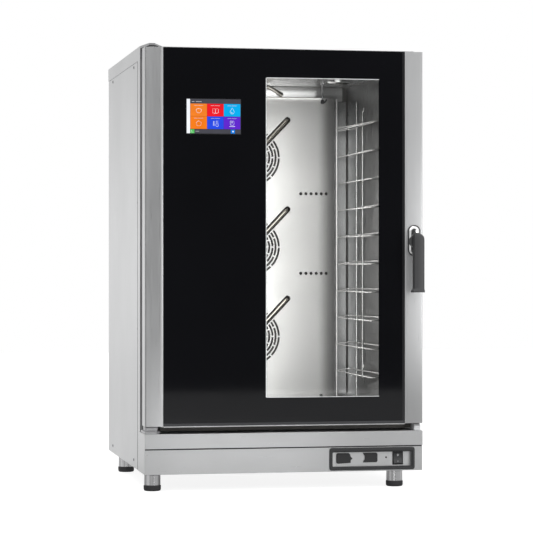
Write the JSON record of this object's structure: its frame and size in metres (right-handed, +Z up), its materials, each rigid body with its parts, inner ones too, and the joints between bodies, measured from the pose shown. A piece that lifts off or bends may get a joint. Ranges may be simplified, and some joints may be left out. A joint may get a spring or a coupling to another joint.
{
  "type": "combi steamer oven",
  "caption": "Floor-standing combi steamer oven with a left-hinged black glass door, clear window, touch screen, fan-driven cavity with tray racks, drop handle and recessed control strip.",
  "frame": {"origin": "middle of the bounding box footprint, on the floor under the feet", "axes": "+Z up, -Y towards the door front, +X to the right seen from the front"},
  "size_m": [0.78, 0.925, 1.2665],
  "materials": {
    "brushed_steel": "satin brushed stainless steel",
    "chamber_steel": "smooth bright stainless steel",
    "polished_steel": "polished",
    "foot_steel": "turned steel with a black tip",
    "dark_metal": "dark grey satin paint",
    "element_alloy": "heat-browned alloy",
    "dark_plastic": "dark grey moulded",
    "black_plastic": "black satin moulded",
    "black_rubber": "matt black",
    "printed_glass": "black printed border around a clear window",
    "clear_glass": "clear",
    "screen": "lit colour display",
    "indicator_lens": "small tinted lens",
    "mineral_wool": "fibrous",
    "circuit_board": "coated board with parts on it"
  },
  "bodies": {
    "cabinet": {"base_tray": "brushed_steel", "upper_fascia": "brushed_steel", "lower_fascia": "brushed_steel", "side_panel_left": "brushed_steel", "side_panel_right": "brushed_steel", "top_cover": "brushed_steel", "rear_panel": "brushed_steel", "front_frame": "brushed_steel", "control_plate": "brushed_steel", "cavity_wrap": "chamber_steel", "cavity_back_wall": "chamber_steel", "fan_baffle": "chamber_steel", "drain_pipe": "chamber_steel", "chimney": "chamber_steel", "drip_gutter": "chamber_steel", "cavity_probe": "polished_steel", "wash_arm": "polished_steel", "hinge_bracket_bottom": "polished_steel", "door_rest": "polished_steel", "latch_keeper": "polished_steel", "hinge_bracket_top": "dark_metal", "fan_motor_top": "dark_metal", "fan_motor_middle": "dark_metal", "fan_motor_bottom": "dark_metal", "heating_element_top": "element_alloy", "heating_element_middle": "element_alloy", "heating_element_bottom": "element_alloy", "water_manifold": "element_alloy", "control_bezel": "dark_plastic", "cable_gland": "dark_plastic", "water_inlet_valve": "dark_plastic", "socket_block": "black_plastic", "cavity_lamp": "clear_glass", "indicator_light": "indicator_lens", "insulation_blanket": "mineral_wool", "control_board": "circuit_board"},
    "door": {"door_stile_left": "brushed_steel", "door_stile_right": "brushed_steel", "door_pan": "brushed_steel", "outer_glass": "printed_glass", "touch_screen": "screen", "inner_frame": "dark_metal", "inner_glass": "clear_glass", "door_gasket": "black_rubber", "handle_escutcheon": "polished_steel"},
    "door_handle": {"handle_spindle": "polished_steel", "handle_grip": "black_plastic"},
    "rack_left": {"tray_rack_left": "polished_steel"},
    "rack_right": {"tray_rack_right": "polished_steel"},
    "fan_wheel_top": {"fan_wheel_top": "chamber_steel"},
    "fan_wheel_middle": {"fan_wheel_middle": "chamber_steel"},
    "fan_wheel_bottom": {"fan_wheel_bottom": "chamber_steel"},
    "power_switch": {"power_switch": "black_plastic"},
    "usb_cap": {"usb_cap": "black_rubber"},
    "probe_cap": {"probe_cap": "black_rubber"},
    "vent_flap": {"vent_flap": "chamber_steel"},
    "foot_front_left": {"foot_front_left": "foot_steel"},
    "foot_front_right": {"foot_front_right": "foot_steel"},
    "foot_rear_left": {"foot_rear_left": "foot_steel"},
    "foot_rear_right": {"foot_rear_right": "foot_steel"}
  },
  "joints": [
    {"name": "door_hinge", "type": "hinge", "parent": "cabinet", "child": "door", "pos_m": [-0.365, -0.3745, 0.69], "axis": [0, 0, -1], "range_deg": [0, 120]},
    {"name": "handle_turn", "type": "hinge", "parent": "door", "child": "door_handle", "pos_m": [0.365, -0.4105, 0.685], "axis": [0, 1, 0], "range_deg": [-60, 60]},
    {"name": "rack_left_lift", "type": "slide", "parent": "cabinet", "child": "rack_left", "axis": [0, 0, 1], "range_m": [0, 0.015]},
    {"name": "rack_right_lift", "type": "slide", "parent": "cabinet", "child": "rack_right", "axis": [0, 0, 1], "range_m": [0, 0.015]},
    {"name": "fan_bottom_spin", "type": "hinge", "parent": "cabinet", "child": "fan_wheel_bottom", "pos_m": [0.018, 0.2355, 0.4009], "axis": [0, -1, 0], "continuous": true},
    {"name": "fan_middle_spin", "type": "hinge", "parent": "cabinet", "child": "fan_wheel_middle", "pos_m": [0.018, 0.2355, 0.6714], "axis": [0, -1, 0], "continuous": true},
    {"name": "fan_top_spin", "type": "hinge", "parent": "cabinet", "child": "fan_wheel_top", "pos_m": [0.018, 0.2355, 0.942], "axis": [0, -1, 0], "continuous": true},
    {"name": "power_switch_rock", "type": "hinge", "parent": "cabinet", "child": "power_switch", "pos_m": [0.322, -0.3875, 0.079], "axis": [1, 0, 0], "range_deg": [0, 14]},
    {"name": "usb_cap_flap", "type": "hinge", "parent": "cabinet", "child": "usb_cap", "pos_m": [0.1466, -0.3928, 0.0805], "axis": [0, 0, -1], "range_deg": [0, 100]},
    {"name": "probe_cap_flap", "type": "hinge", "parent": "cabinet", "child": "probe_cap", "pos_m": [0.2227, -0.3928, 0.08175], "axis": [0, 0, -1], "range_deg": [0, 100]},
    {"name": "vent_flap_turn", "type": "hinge", "parent": "cabinet", "child": "vent_flap", "pos_m": [-0.132, 0.2015, 1.243], "axis": [-1, 0, 0], "range_deg": [0, 90]},
    {"name": "foot_front_left_height", "type": "slide", "parent": "cabinet", "child": "foot_front_left", "axis": [0, 0, -1], "range_m": [0, 0.02]},
    {"name": "foot_front_right_height", "type": "slide", "parent": "cabinet", "child": "foot_front_right", "axis": [0, 0, -1], "range_m": [0, 0.02]},
    {"name": "foot_rear_left_height", "type": "slide", "parent": "cabinet", "child": "foot_rear_left", "axis": [0, 0, -1], "range_m": [0, 0.02]},
    {"name": "foot_rear_right_height", "type": "slide", "parent": "cabinet", "child": "foot_rear_right", "axis": [0, 0, -1], "range_m": [0, 0.02]}
  ]
}
